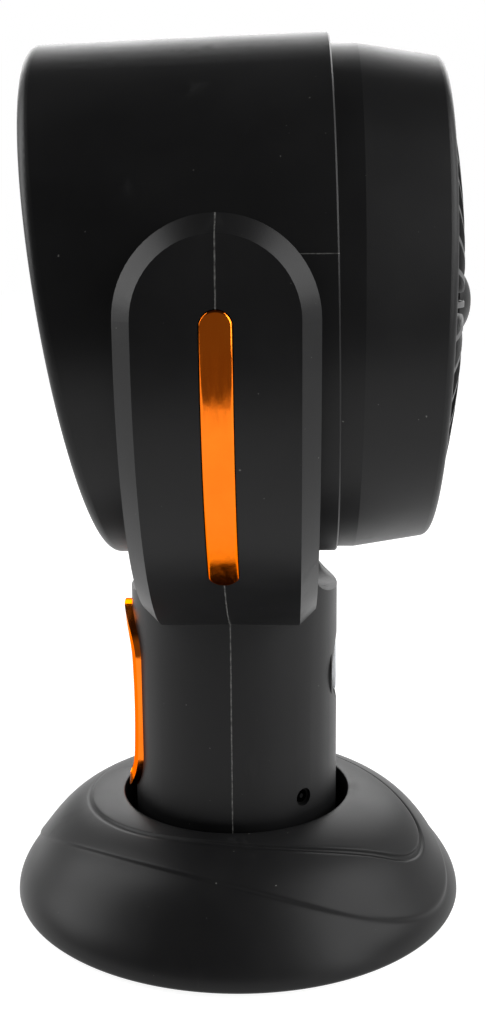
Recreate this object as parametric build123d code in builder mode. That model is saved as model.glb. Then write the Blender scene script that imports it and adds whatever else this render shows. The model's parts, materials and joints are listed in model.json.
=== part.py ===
from build123d import *
import os
from math import cos, radians, sin, sqrt, tan

# Desk-top air circulator: a drum-shaped head tilts in a fork, and the fork turns on a round base
# Millimetres, +X the way the air leaves, +Z up, origin on the floor under the column's axis

# Base
foot_height = 1.6
foot_outer_radius = 91.0
foot_inner_radius = 84.0
foot_sink = 1.0
plate_thickness = 2.6
plate_gap = 0.3
base_radius = 100.0
base_widest_height = 4.0
base_bottom_radius = 96.0
base_height = 47.7
base_shoulder_radius = 79.0
base_shoulder_height = 36.8
base_wall = 2.6
well_radius = 50.7
crown_step = 1.1
crown_front = 96.0
crown_back = 92.0
crown_half_width = 77.5
collar_step = 1.0
collar_centre = 7.0
collar_half_length = 73.0
collar_half_width = 56.0
boss_circle = 77.0
boss_radius = 4.0
boss_count = 5
boss_turn = 36.0
base_screw_radius = 1.5
screw_head_radius = 2.9
screw_head_height = 1.8
ballast_inner_radius = 55.0
ballast_outer_radius = 71.0
ballast_height = 9.0

# Turning joint between base and column
post_radius = 14.0
post_height = 24.0
post_bore_radius = 2.0
running_gap = 0.08
fit_gap = 0.05
washer_inner_radius = 18.0
washer_outer_radius = 38.0
washer_thickness = 1.2
seat_gap = 0.3
foot_disc_thickness = 5.0
foot_hub_radius = 19.0
foot_rim_gap = 0.1
retainer_radius = 18.0
retainer_thickness = 2.0
retainer_screw_radius = 1.9
retainer_head_radius = 4.0
retainer_head_height = 2.4

# Column and fork
column_radius = 45.3
column_clearance = 2.2
shell_wall = 2.6
tilt_axis_height = 266.0
arm_width = 70.2
arm_bevel = 6.6
fork_radius = 131.0
fork_centre_drop = 6.0
fork_inner_half = 108.7
saddle_radius = 131.0
saddle_arc_radius = 114.8
column_roof = 3.0
arm_pocket_half = 27.0
arm_pocket_depth = 60.0
fork_screw_radius = 1.5
fork_boss_radius = 4.4
fork_screw_reach = 9.0
fork_screw_seat = 24.0
low_screw_offset = 30.0
low_screw_height = 22.0
panel_screw_offset = 10.0
panel_screw_height = 68.0

# Amber strips in the arms
strip_width = 11.6
strip_top_above_axis = 4.0
strip_bottom_below_axis = 100.0
strip_proud = 0.5
strip_depth = 1.4
trim_gap = 0.1

# Amber bezel and panel on the back of the column
bezel_height = 86.0
bezel_width = 43.0
bezel_band = 4.6
bezel_centre_height = 92.0
bezel_proud_middle = 1.6
bezel_proud_ends = 3.4
bezel_depth = 1.3
panel_proud = 0.2

# Push button on the front of the column
button_height = 105.6
button_radius = 11.5
button_gap = 0.3
button_face = 44.9
button_travel = 1.2
button_flange = 2.0
button_flange_thickness = 1.6
button_stem_radius = 3.0
switch_height = 3.4
dish_radius = 16.5
dish_floor = 42.6
dish_lip = 2.0
dish_boss_radius = 18.0
dish_boss_back = 38.6
board_thickness = 1.6
board_width = 30.0
board_height = 46.0
board_front = 28.0
switch_size = 6.2
board_post_radius = 2.4
board_post_inset = 4.0

# Power inlet low on the column
inlet_height = 56.3
inlet_bearing = -48.0
inlet_radius = 3.9
inlet_bore_radius = 2.9
inlet_recess = 1.6
inlet_length = 10.0
inlet_pin_radius = 1.0

# Tilt pins
pin_radius = 8.0
pin_flange_radius = 13.0
pin_flange_thickness = 2.5
bush_wall = 2.5
bush_flange_radius = 14.0
bush_flange_thickness = 2.0
bush_length = 9.0
clip_radius = 12.0
clip_thickness = 1.5
pin_tip_radius = 5.0
friction_washer_outer = 18.5
friction_washer_gap = 0.12

# Head cowl
cowl_front_radius = 106.4
cowl_back_radius = 104.6
cowl_pitch = 1.0
cowl_wall = 2.4
seam_x = 42.0
seam_lean = 1.1
rear_x = -64.4
rear_slant = 8.0
rear_round = 4.5
rear_lip = 3.0
rear_opening_radius = 94.0
front_lip = 2.4
tilt_boss_radius = 21.0
tilt_boss_face = 107.5
tilt_boss_inner = 100.0
seam_chamfer = 0.6

# Front ring
air_axis_drop = 0.6
spigot_radius = 101.2
spigot_length = 8.0
ring_radius = 103.2
ring_flat_end = 51.0
ring_front_radius = 98.0
ring_front_x = 83.4
front_lean = 1.0
ring_round = 3.6
ring_bore_radius = 93.3
ring_wall = 2.4
ledge_x = 72.0
ledge_thickness = 3.6
ledge_radius = 89.5

# Front grille
rib_count = 45
rib_thickness = 2.1
grille_gap = 0.4
grille_rim_radius = 88.6
grille_rim_depth = 5.0
hub_radius = 34.0
hub_face = 15.4
hub_thickness = 2.4
hub_skirt = 10.0
hub_round = 1.6
crest_hub = 16.9
crest_mid = 14.3
crest_rim = 7.6
rib_depth_hub = 8.0
rib_depth_rim = 5.6
rib_corner = 5.0
cap_radius = 14.5
cap_tip = 24.9
cap_side = 3.4
cap_stem_radius = 5.0
cap_stem_length = 6.0

# Rear intake grille
intake_bars = 40
intake_bar_width = 2.0
intake_bar_depth = 3.0
intake_flange = 4.0
intake_flange_thickness = 2.0
intake_hub_radius = 30.0
intake_ring_radius = 62.0
intake_ring_width = 2.4
intake_recess = 0.8

# Motor and its bracket
bracket_x = -34.0
bracket_thickness = 3.5
bracket_arms = 4
bracket_arm_width = 12.0
bracket_reach = 100.0
bracket_hub_radius = 34.0
lug_inner_radius = 91.0
lug_width = 13.0
lug_length = 12.0
motor_radius = 30.0
motor_length = 36.0
motor_boss_radius = 8.0
motor_boss_length = 3.0
motor_round = 3.0
motor_screw_circle = 24.0
small_screw_radius = 1.5
shaft_radius = 3.0
shaft_back_inset = 6.0

# Impeller
impeller_hub_radius = 25.0
impeller_hub_length = 26.0
impeller_wall = 2.4
impeller_boss_radius = 6.0
impeller_gap = 3.0
blade_count = 7
blade_tip_radius = 94.0
blade_root_chord = 30.0
blade_tip_chord = 44.0
blade_root_angle = 42.0
blade_tip_angle = 24.0
blade_thickness = 2.4
nut_radius = 8.0
nut_length = 8.0

# Places worked out from the sizes above
air_axis_height = tilt_axis_height - air_axis_drop
plate_bottom = foot_height
plate_top = plate_bottom + plate_thickness
washer_bottom = plate_top + 4.0
foot_disc_bottom = washer_bottom + washer_thickness + seat_gap
column_bottom = foot_disc_bottom
column_inner_radius = column_radius - shell_wall
fork_centre_height = tilt_axis_height - fork_centre_drop
bracket_front = bracket_x + bracket_thickness
motor_front = bracket_front + motor_length
impeller_back = motor_front + motor_boss_length + impeller_gap
impeller_front = impeller_back + impeller_hub_length
nut_front = impeller_front + nut_length

# Planes and axes
side_plane = Plane(origin=(0, 0, tilt_axis_height), x_dir=(1, 0, 0), z_dir=(0, -1, 0))
fork_plane = Plane(origin=(0, 0, tilt_axis_height), x_dir=(0, 1, 0), z_dir=(1, 0, 0))
tilt_axis = Axis((0, 0, tilt_axis_height), (0, 1, 0))
air_plane = Plane(origin=(0, 0, air_axis_height), x_dir=(0, 1, 0), z_dir=(1, 0, 0))
air_side = Plane(origin=(0, 0, air_axis_height), x_dir=(1, 0, 0), z_dir=(0, -1, 0))
air_axis = Axis((0, 0, air_axis_height), (1, 0, 0))
pitch = radians(cowl_pitch)
cowl_side = Plane(
    origin=(0, 0, tilt_axis_height), x_dir=(cos(pitch), 0, sin(pitch)), z_dir=(0, -1, 0)
)
cowl_axis = Axis((0, 0, tilt_axis_height), (cos(pitch), 0, sin(pitch)))
slant = radians(rear_slant)
rear_plane = Plane(
    origin=(rear_x, 0, tilt_axis_height), x_dir=(0, -1, 0), z_dir=(-cos(slant), 0, -sin(slant))
)
lean = radians(front_lean)
grille_seat_x = ledge_x + ledge_thickness + fit_gap
grille_direction = (cos(lean), 0, -sin(lean))
grille_plane = Plane(
    origin=(grille_seat_x, 0, air_axis_height), x_dir=(0, 1, 0), z_dir=grille_direction
)
grille_side = Plane(
    origin=(grille_seat_x, 0, air_axis_height), x_dir=grille_direction, z_dir=(0, -1, 0)
)
grille_axis = Axis((grille_seat_x, 0, air_axis_height), grille_direction)


def save(piece, name):
    piece.part.label = name
    export_step(piece.part, "parts/" + name + ".step")


def dome_curve(inset):
    # the dome's section from its widest ring up to the lip of the well
    return Spline(
        (base_radius - inset, base_widest_height),
        (base_shoulder_radius - 0.6 * inset, base_shoulder_height - 0.8 * inset),
        (well_radius, base_height - inset),
        tangents=[(0, 1), (-1, 0.05)],
    )


def filled_dome(inset):
    # one face: everything under the dome out to the given inset
    with BuildSketch(Plane.XZ) as section:
        with BuildLine():
            curve = dome_curve(inset)
            Polyline(
                curve @ 1,
                (0, base_height - inset),
                (0, plate_bottom),
                (base_bottom_radius - inset, plate_bottom),
                curve @ 0,
            )
        make_face()
    return section.sketch


def side_outline(rear_inset, front_inset):
    # the head's outline from the side between the slanted rear cut and the leaning seam
    reach = 2 * cowl_front_radius
    rear_shift = reach * tan(radians(rear_slant))
    seam_shift = reach * tan(radians(seam_lean))
    with BuildSketch(side_plane) as outline:
        Polygon(
            (rear_x + rear_inset + rear_shift, -reach),
            (seam_x - front_inset + seam_shift, -reach),
            (seam_x - front_inset - seam_shift, reach),
            (rear_x + rear_inset - rear_shift, reach),
            align=None,
        )
    return outline.sketch


def stadium(plane, length, width):
    with BuildSketch(plane) as outline:
        SlotOverall(length, width, rotation=90)
    return outline.sketch


# Base plate with its post, the part that everything stands on
boss_places = PolarLocations(boss_circle, boss_count, start_angle=boss_turn)
plate_radius = base_bottom_radius - base_wall - plate_gap
with BuildPart() as base_plate:
    with BuildSketch(Plane.XY.offset(plate_bottom)):
        Circle(plate_radius)
    extrude(amount=plate_thickness)
    with BuildSketch(Plane.XY.offset(plate_top)):
        Circle(washer_outer_radius)
    extrude(amount=washer_bottom - plate_top)
    with BuildSketch(Plane.XY.offset(washer_bottom)):
        Circle(post_radius)
    extrude(amount=post_height)
    with BuildSketch(Plane.XY.offset(washer_bottom + post_height)):
        Circle(post_bore_radius)
    extrude(amount=-post_height, mode=Mode.SUBTRACT)
    with BuildSketch(Plane.XY.offset(plate_bottom)):
        Circle(foot_outer_radius + fit_gap)
        Circle(foot_inner_radius - fit_gap, mode=Mode.SUBTRACT)
    extrude(amount=foot_sink, mode=Mode.SUBTRACT)
    with BuildSketch(Plane.XY.offset(plate_bottom)):
        with boss_places:
            Circle(base_screw_radius + fit_gap)
    extrude(amount=plate_thickness, mode=Mode.SUBTRACT)
    with BuildSketch(Plane.XY.offset(plate_bottom)):
        with boss_places:
            Circle(screw_head_radius + fit_gap)
    extrude(amount=screw_head_height, mode=Mode.SUBTRACT)
save(base_plate, "base_plate")

with BuildPart() as foot_ring:
    with BuildSketch():
        Circle(foot_outer_radius)
        Circle(foot_inner_radius, mode=Mode.SUBTRACT)
    extrude(amount=foot_height + foot_sink)
    chamfer(foot_ring.faces().sort_by(Axis.Z)[0].edges(), 0.5)
save(foot_ring, "rubber_foot_ring")

with BuildPart() as ballast_ring:
    with BuildSketch(Plane.XY.offset(plate_top)):
        Circle(ballast_outer_radius)
        Circle(ballast_inner_radius, mode=Mode.SUBTRACT)
    extrude(amount=ballast_height)
save(ballast_ring, "ballast_ring")

# Base cover: a thin dome with a sunken well, a sculpted crown and a collar round the well
with BuildPart() as sculpted_layers:
    with BuildSketch(Plane.XY.offset(plate_bottom)):
        with Locations(((crown_front - crown_back) / 2, 0)):
            Ellipse((crown_front + crown_back) / 2, crown_half_width)
    extrude(amount=base_height)
    revolve(filled_dome(-crown_step), axis=Axis.Z, mode=Mode.INTERSECT)

with BuildPart() as collar_layer:
    with BuildSketch(Plane.XY.offset(plate_bottom)):
        with Locations((collar_centre, 0)):
            Ellipse(collar_half_length, collar_half_width)
    extrude(amount=base_height + crown_step)
    revolve(filled_dome(-crown_step - collar_step), axis=Axis.Z, mode=Mode.INTERSECT)

well_wall_radius = well_radius + base_wall
with BuildPart() as base_bosses:
    with BuildSketch(Plane.XY.offset(plate_top)):
        with boss_places:
            Circle(boss_radius)
    extrude(amount=base_height)
    revolve(filled_dome(base_wall / 2), axis=Axis.Z, mode=Mode.INTERSECT)

with BuildPart() as base_cover:
    revolve(filled_dome(0), axis=Axis.Z)
    add(sculpted_layers.part)
    add(collar_layer.part)
    revolve(filled_dome(base_wall), axis=Axis.Z, mode=Mode.SUBTRACT)
    with BuildSketch(Plane.XY.offset(plate_top)):
        Circle(well_wall_radius)
    extrude(amount=base_height - base_wall / 2 - plate_top)
    add(base_bosses.part)
    with BuildSketch(Plane.XY.offset(plate_bottom)):
        Circle(well_radius)
    extrude(amount=2 * base_height, mode=Mode.SUBTRACT)
    with BuildSketch(Plane.XY.offset(plate_top)):
        with boss_places:
            Circle(base_screw_radius + fit_gap)
    extrude(amount=10, mode=Mode.SUBTRACT)
save(base_cover, "base_cover")

with BuildPart() as base_screws:
    with BuildSketch(Plane.XY.offset(plate_bottom)):
        with boss_places:
            Circle(screw_head_radius)
    extrude(amount=screw_head_height - fit_gap)
    with BuildSketch(Plane.XY.offset(plate_bottom)):
        with boss_places:
            Circle(base_screw_radius)
    extrude(amount=10)
save(base_screws, "base_screws")

# Turning joint
with BuildPart() as swivel_washer:
    with BuildSketch(Plane.XY.offset(washer_bottom)):
        Circle(washer_outer_radius)
        Circle(washer_inner_radius, mode=Mode.SUBTRACT)
    extrude(amount=washer_thickness)
save(swivel_washer, "swivel_washer")

foot_hub_top = washer_bottom + post_height - seat_gap
with BuildPart() as column_foot:
    with BuildSketch(Plane.XY.offset(foot_disc_bottom)):
        Circle(column_inner_radius - foot_rim_gap)
    extrude(amount=foot_disc_thickness)
    with BuildSketch(Plane.XY.offset(foot_disc_bottom)):
        Circle(foot_hub_radius)
    extrude(amount=foot_hub_top - foot_disc_bottom)
    with BuildSketch(Plane.XY.offset(foot_disc_bottom)):
        Circle(post_radius + running_gap)
    extrude(amount=post_height, mode=Mode.SUBTRACT)
save(column_foot, "column_foot")

post_top = washer_bottom + post_height
with BuildPart() as swivel_retainer:
    with BuildSketch(Plane.XY.offset(post_top)):
        Circle(retainer_radius)
        Circle(retainer_screw_radius + fit_gap, mode=Mode.SUBTRACT)
    extrude(amount=retainer_thickness)
save(swivel_retainer, "swivel_retainer")

with BuildPart() as retainer_screw:
    with BuildSketch(Plane.XY.offset(post_top + retainer_thickness)):
        Circle(retainer_head_radius)
    extrude(amount=retainer_head_height)
    with BuildSketch(Plane.XY.offset(post_top + retainer_thickness)):
        Circle(retainer_screw_radius)
    extrude(amount=-post_height / 2 - retainer_thickness)
save(retainer_screw, "retainer_screw")

# Fork and column as one moulded body, split afterwards along its seam
with BuildPart() as saddle_void:
    with BuildSketch(fork_plane):
        with Locations((0, saddle_arc_radius - saddle_radius)):
            Circle(saddle_arc_radius)
        with Locations((0, -saddle_radius / 2)):
            Rectangle(2 * fork_inner_half, saddle_radius, mode=Mode.INTERSECT)
    revolve(axis=tilt_axis)

half_arm = arm_width / 2
bevel_start = half_arm - arm_bevel
with BuildPart() as fork_body:
    # lower half ring, bevelled along both rims
    with BuildSketch(Plane.XY.offset(fork_centre_height)):
        Polygon(
            (-half_arm, 0),
            (-half_arm, arm_bevel - fork_radius),
            (-bevel_start, -fork_radius),
            (bevel_start, -fork_radius),
            (half_arm, arm_bevel - fork_radius),
            (half_arm, 0),
            align=None,
        )
    revolve(axis=Axis((0, 0, fork_centre_height), (1, 0, 0)), revolution_arc=180)
    # short straight length up to the tilt axis
    with BuildSketch(Plane.XY.offset(fork_centre_height)):
        Rectangle(arm_width, 2 * fork_radius)
        chamfer(vertices(), arm_bevel)
    extrude(amount=fork_centre_drop)
    # round ends of the arms about the tilt axis
    with BuildSketch(Plane.XY.offset(tilt_axis_height)):
        Polygon(
            (0, -fork_radius),
            (-bevel_start, -fork_radius),
            (-half_arm, arm_bevel - fork_radius),
            (-half_arm, fork_radius - arm_bevel),
            (-bevel_start, fork_radius),
            (0, fork_radius),
            align=None,
        )
    revolve(axis=tilt_axis, revolution_arc=180)
    with BuildSketch(Plane.XY.offset(column_bottom)):
        Circle(column_radius)
    extrude(amount=tilt_axis_height - saddle_radius * 0.88 - column_bottom)
    add(saddle_void.part, mode=Mode.SUBTRACT)

cavity_top = tilt_axis_height - saddle_radius - column_roof
with BuildPart() as column_cavity:
    with BuildSketch(Plane.XY.offset(column_bottom)):
        Circle(column_inner_radius)
    extrude(amount=cavity_top - column_bottom)

pocket_inner = fork_inner_half + shell_wall
pocket_outer = fork_radius - shell_wall - strip_depth
with BuildPart() as arm_pockets:
    with BuildSketch(fork_plane):
        with Locations((0, (arm_pocket_half - arm_pocket_depth) / 2)):
            Rectangle(2 * pocket_outer, arm_pocket_half + arm_pocket_depth)
        with Locations((0, -fork_centre_drop)):
            Circle(pocket_outer, mode=Mode.INTERSECT)
        with Locations((0, 0)):
            Rectangle(2 * pocket_inner, 4 * fork_radius, mode=Mode.SUBTRACT)
    extrude(amount=arm_pocket_half, both=True)
    with BuildSketch(side_plane):
        Circle(arm_pocket_half)
        with Locations((0, -fork_radius)):
            Rectangle(2 * arm_pocket_half, 2 * fork_radius)
    extrude(amount=fork_radius + 1, both=True, mode=Mode.INTERSECT)

# Amber strips follow the outer face of each arm
with BuildPart() as strip_band:
    with BuildSketch(fork_plane):
        with Locations((0, -fork_centre_drop)):
            Circle(fork_radius + strip_proud)
        with Locations((0, strip_top_above_axis)):
            Rectangle(2 * (fork_radius + strip_proud), 2 * (strip_top_above_axis + fork_centre_drop))
        with Locations((0, -fork_centre_drop)):
            Circle(fork_radius - strip_depth, mode=Mode.SUBTRACT)
        with Locations((0, strip_top_above_axis)):
            Rectangle(
                2 * (fork_radius - strip_depth),
                2 * (strip_top_above_axis + fork_centre_drop),
                mode=Mode.SUBTRACT,
            )
    extrude(amount=strip_width, both=True)


def strip_outline(gap):
    # the strip seen from the side, with its two round ends
    length = strip_top_above_axis + strip_bottom_below_axis
    middle = (strip_top_above_axis - strip_bottom_below_axis) / 2
    with BuildSketch(side_plane) as outline:
        with Locations((0, middle)):
            SlotOverall(length + 2 * gap, strip_width + 2 * gap, rotation=90)
    return outline.sketch


strip_reach = fork_radius + strip_proud + 1
with BuildPart() as strip_left:
    extrude(strip_outline(0), amount=strip_reach)
    add(strip_band.part, mode=Mode.INTERSECT)
save(strip_left, "arm_strip_left")

with BuildPart() as strip_right:
    extrude(strip_outline(0), amount=-strip_reach)
    add(strip_band.part, mode=Mode.INTERSECT)
save(strip_right, "arm_strip_right")

with BuildPart() as strip_pockets:
    extrude(strip_outline(trim_gap), amount=strip_reach, both=True)
    add(strip_band.part, mode=Mode.INTERSECT)

# Bezel and panel on the back of the column
bezel_plane = Plane(origin=(0, 0, bezel_centre_height), x_dir=(0, -1, 0), z_dir=(-1, 0, 0))
bezel_top = bezel_centre_height + bezel_height / 2
bezel_low = bezel_centre_height - bezel_height / 2
with BuildPart() as bezel_sleeve:
    with BuildSketch(Plane.XZ):
        with BuildLine():
            face = ThreePointArc(
                (column_radius + bezel_proud_ends, bezel_low),
                (column_radius + bezel_proud_middle, bezel_centre_height),
                (column_radius + bezel_proud_ends, bezel_top),
            )
            Polyline(
                face @ 1,
                (column_radius - bezel_depth, bezel_top),
                (column_radius - bezel_depth, bezel_low),
                face @ 0,
            )
        make_face()
    revolve(axis=Axis.Z)

with BuildPart() as rear_bezel:
    with BuildSketch(bezel_plane):
        SlotOverall(bezel_height, bezel_width, rotation=90)
        SlotOverall(bezel_height - 2 * bezel_band, bezel_width - 2 * bezel_band, rotation=90,
                    mode=Mode.SUBTRACT)
    extrude(amount=column_radius + bezel_proud_ends + 1)
    add(bezel_sleeve.part, mode=Mode.INTERSECT)
save(rear_bezel, "rear_bezel")

panel_length = bezel_height - 2 * bezel_band - 2 * trim_gap
panel_width = bezel_width - 2 * bezel_band - 2 * trim_gap
with BuildPart() as rear_panel:
    with BuildSketch(Plane.XY.offset(bezel_low)):
        Circle(column_radius + panel_proud)
        Circle(column_radius - bezel_depth, mode=Mode.SUBTRACT)
    extrude(amount=bezel_height)
    extrude(stadium(bezel_plane, panel_length, panel_width), amount=column_radius + 1,
            mode=Mode.INTERSECT)
save(rear_panel, "rear_panel")

with BuildPart() as bezel_recess:
    with BuildSketch(Plane.XY.offset(bezel_low - 1)):
        Circle(column_radius + 1)
        Circle(column_radius - bezel_depth, mode=Mode.SUBTRACT)
    extrude(amount=bezel_height + 2)
    extrude(stadium(bezel_plane, bezel_height + 2 * trim_gap, bezel_width + 2 * trim_gap),
            amount=column_radius + 2, mode=Mode.INTERSECT)

# Tilt bushes in the inner walls of the arms
bush_radius = pin_radius + bush_wall
with BuildPart() as bush_holes:
    with BuildSketch(side_plane):
        Circle(bush_radius + fit_gap)
    extrude(amount=fork_radius - shell_wall - strip_depth, both=True)


def tilt_pieces(sign):
    # planes facing outward from the cowl towards one arm
    return Plane(origin=(0, 0, tilt_axis_height), x_dir=(1, 0, 0), z_dir=(0, sign, 0))


for sign, side in ((-1, "left"), (1, "right")):
    outward = tilt_pieces(sign)
    with BuildPart() as tilt_bush:
        with BuildSketch(outward.offset(fork_inner_half)):
            Circle(bush_radius)
        extrude(amount=bush_length)
        with BuildSketch(outward.offset(pocket_inner + fit_gap)):
            Circle(bush_flange_radius)
        extrude(amount=bush_flange_thickness)
        with BuildSketch(outward.offset(fork_inner_half)):
            Circle(pin_radius + running_gap)
        extrude(amount=bush_length, mode=Mode.SUBTRACT)
    save(tilt_bush, "tilt_bush_" + side)

    clip_start = fork_inner_half + bush_length + seat_gap
    with BuildPart() as tilt_pin:
        with BuildSketch(outward.offset(tilt_boss_inner - pin_flange_thickness)):
            Circle(pin_flange_radius)
        extrude(amount=pin_flange_thickness)
        with BuildSketch(outward.offset(tilt_boss_inner)):
            Circle(pin_radius)
        extrude(amount=clip_start - tilt_boss_inner)
        with BuildSketch(outward.offset(clip_start)):
            Circle(pin_tip_radius)
        extrude(amount=clip_thickness + 1)
    save(tilt_pin, "tilt_pin_" + side)

    with BuildPart() as pin_clip:
        with BuildSketch(outward.offset(clip_start)):
            Circle(clip_radius)
            Circle(pin_tip_radius + fit_gap, mode=Mode.SUBTRACT)
        extrude(amount=clip_thickness)
    save(pin_clip, "pin_clip_" + side)

    with BuildPart() as friction_washer:
        with BuildSketch(outward.offset(tilt_boss_face)):
            Circle(friction_washer_outer)
            Circle(pin_radius + fit_gap, mode=Mode.SUBTRACT)
        extrude(amount=fork_inner_half - tilt_boss_face - friction_washer_gap)
    save(friction_washer, "friction_washer_" + side)

# Button, its dish and the board behind it
button_plane = Plane(origin=(0, 0, button_height), x_dir=(0, 1, 0), z_dir=(1, 0, 0))
with BuildPart() as dish_cut:
    with BuildSketch(Plane(origin=(0, 0, button_height), x_dir=(1, 0, 0), z_dir=(0, -1, 0))):
        Polygon(
            (dish_floor, 0),
            (column_radius + 4, 0),
            (column_radius + 4, dish_radius + dish_lip),
            (dish_floor, dish_radius - dish_lip),
            align=None,
        )
    revolve(axis=Axis((0, 0, button_height), (1, 0, 0)))

flange_front = dish_boss_back - seat_gap
flange_back = flange_front - button_flange_thickness
stem_end = board_front + board_thickness + switch_height + button_travel + seat_gap
with BuildPart() as power_button:
    with BuildSketch(button_plane.offset(flange_front)):
        Circle(button_radius)
    extrude(amount=button_face - flange_front)
    fillet(power_button.faces().sort_by(Axis.X)[-1].edges(), 0.8)
    with BuildSketch(button_plane.offset(flange_back)):
        Circle(button_radius + button_flange)
    extrude(amount=button_flange_thickness)
    with BuildSketch(button_plane.offset(flange_back)):
        Circle(button_stem_radius)
    extrude(amount=stem_end - flange_back)
save(power_button, "power_button")

board_plane = Plane(origin=(board_front, 0, button_height), x_dir=(0, 1, 0), z_dir=(1, 0, 0))
post_places = GridLocations(
    board_width - 2 * board_post_inset, board_height - 2 * board_post_inset, 2, 2
)
with BuildPart() as control_board:
    with BuildSketch(board_plane):
        Rectangle(board_width, board_height)
    extrude(amount=board_thickness)
    with BuildSketch(board_plane):
        with post_places:
            Circle(small_screw_radius + fit_gap)
    extrude(amount=board_thickness, mode=Mode.SUBTRACT)
save(control_board, "control_board")

with BuildPart() as button_switch:
    with BuildSketch(board_plane.offset(board_thickness)):
        Rectangle(switch_size, switch_size)
    extrude(amount=switch_height)
save(button_switch, "button_switch")

with BuildPart() as board_posts:
    with BuildSketch(board_plane.offset(board_thickness)):
        with post_places:
            Circle(board_post_radius)
    extrude(amount=column_radius - 1 - board_front - board_thickness)
    with BuildSketch(Plane.XY.offset(column_bottom)):
        Circle(column_radius - shell_wall / 2)
    extrude(amount=cavity_top - column_bottom, mode=Mode.INTERSECT)
    with BuildSketch(board_plane.offset(board_thickness)):
        with post_places:
            Circle(small_screw_radius)
    extrude(amount=5, mode=Mode.SUBTRACT)

with BuildPart() as board_screws:
    with BuildSketch(board_plane):
        with post_places:
            Circle(small_screw_radius + 1.2)
    extrude(amount=-1.2)
    with BuildSketch(board_plane):
        with post_places:
            Circle(small_screw_radius - fit_gap)
    extrude(amount=board_thickness + 4.5)
save(board_screws, "board_screws")

# Power inlet
bearing = radians(inlet_bearing)
inlet_direction = (cos(bearing), sin(bearing), 0)
inlet_plane = Plane(origin=(0, 0, inlet_height), x_dir=(0, 0, 1), z_dir=inlet_direction)
inlet_face = column_radius - inlet_recess
with BuildPart() as power_inlet:
    with BuildSketch(inlet_plane.offset(inlet_face - inlet_length)):
        Circle(inlet_radius)
    extrude(amount=inlet_length)
    with BuildSketch(inlet_plane.offset(inlet_face)):
        Circle(inlet_bore_radius)
        Circle(inlet_pin_radius, mode=Mode.SUBTRACT)
    extrude(amount=-inlet_length * 0.8, mode=Mode.SUBTRACT)
save(power_inlet, "power_inlet")

with BuildPart() as inlet_hole:
    with BuildSketch(inlet_plane):
        Circle(inlet_radius + fit_gap)
    extrude(amount=column_radius + 2)

# Screw bosses across the seam: two low ones inside the base's well, two under the rear panel
screw_spots = [
    (side * offset, height)
    for side in (-1, 1)
    for offset, height in (
        (low_screw_offset, low_screw_height),
        (panel_screw_offset, panel_screw_height),
    )
]


def seam_cylinders(radius, start, end):
    # cylinders along X at each screw of the seam
    with BuildPart() as bodies:
        with BuildSketch(Plane.YZ.offset(start)):
            with Locations(*screw_spots):
                Circle(radius)
        extrude(amount=end - start)
    return bodies.part


with BuildPart() as seam_bosses:
    add(seam_cylinders(fork_boss_radius, -column_radius, column_radius))
    with BuildSketch(Plane.XY.offset(column_bottom)):
        Circle(column_radius - shell_wall / 2)
    extrude(amount=cavity_top - column_bottom, mode=Mode.INTERSECT)

with BuildPart() as fork_front_shell:
    add(fork_body.part)
    add(column_cavity.part, mode=Mode.SUBTRACT)
    add(arm_pockets.part, mode=Mode.SUBTRACT)
    add(bush_holes.part, mode=Mode.SUBTRACT)
    add(seam_bosses.part)
    add(board_posts.part)
    with BuildSketch(button_plane.offset(dish_boss_back)):
        Circle(dish_boss_radius)
    extrude(amount=dish_floor - dish_boss_back)
    add(dish_cut.part, mode=Mode.SUBTRACT)
    with BuildSketch(button_plane):
        Circle(button_radius + button_gap)
    extrude(amount=column_radius + 4, mode=Mode.SUBTRACT)
    add(strip_pockets.part, mode=Mode.SUBTRACT)
    add(inlet_hole.part, mode=Mode.SUBTRACT)
    add(seam_cylinders(fork_screw_radius + fit_gap, -1, fork_screw_reach + 1), mode=Mode.SUBTRACT)
    split(bisect_by=Plane.YZ, keep=Keep.TOP)
save(fork_front_shell, "fork_front_shell")

with BuildPart() as fork_rear_shell:
    add(fork_body.part)
    add(column_cavity.part, mode=Mode.SUBTRACT)
    add(arm_pockets.part, mode=Mode.SUBTRACT)
    add(bush_holes.part, mode=Mode.SUBTRACT)
    add(seam_bosses.part)
    add(bezel_recess.part, mode=Mode.SUBTRACT)
    add(strip_pockets.part, mode=Mode.SUBTRACT)
    add(seam_cylinders(fork_screw_radius + fit_gap, -column_radius, 1), mode=Mode.SUBTRACT)
    add(seam_cylinders(screw_head_radius + fit_gap, -column_radius - 1, -fork_screw_seat),
        mode=Mode.SUBTRACT)
    split(bisect_by=Plane.YZ, keep=Keep.BOTTOM)
save(fork_rear_shell, "fork_rear_shell")

with BuildPart() as fork_screws:
    add(seam_cylinders(screw_head_radius, -fork_screw_seat - screw_head_height, -fork_screw_seat))
    add(seam_cylinders(fork_screw_radius, -fork_screw_seat, fork_screw_reach))
save(fork_screws, "fork_screws")

# Rear cowl of the head
cowl_x_front = seam_x + 6
cowl_x_back = rear_x - 22


def cowl_cone(inset):
    with BuildSketch(cowl_side) as section:
        Polygon(
            (cowl_x_back, 0),
            (cowl_x_front, 0),
            (cowl_x_front, cowl_front_radius - inset),
            (cowl_x_back, cowl_back_radius - inset),
            align=None,
        )
    return section.sketch


with BuildPart() as cowl_cavity:
    revolve(cowl_cone(cowl_wall), axis=cowl_axis)
    extrude(side_outline(rear_lip, front_lip), amount=2 * cowl_front_radius, both=True,
            mode=Mode.INTERSECT)

with BuildPart() as cowl_inside:
    revolve(cowl_cone(cowl_wall / 2), axis=cowl_axis)

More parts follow.
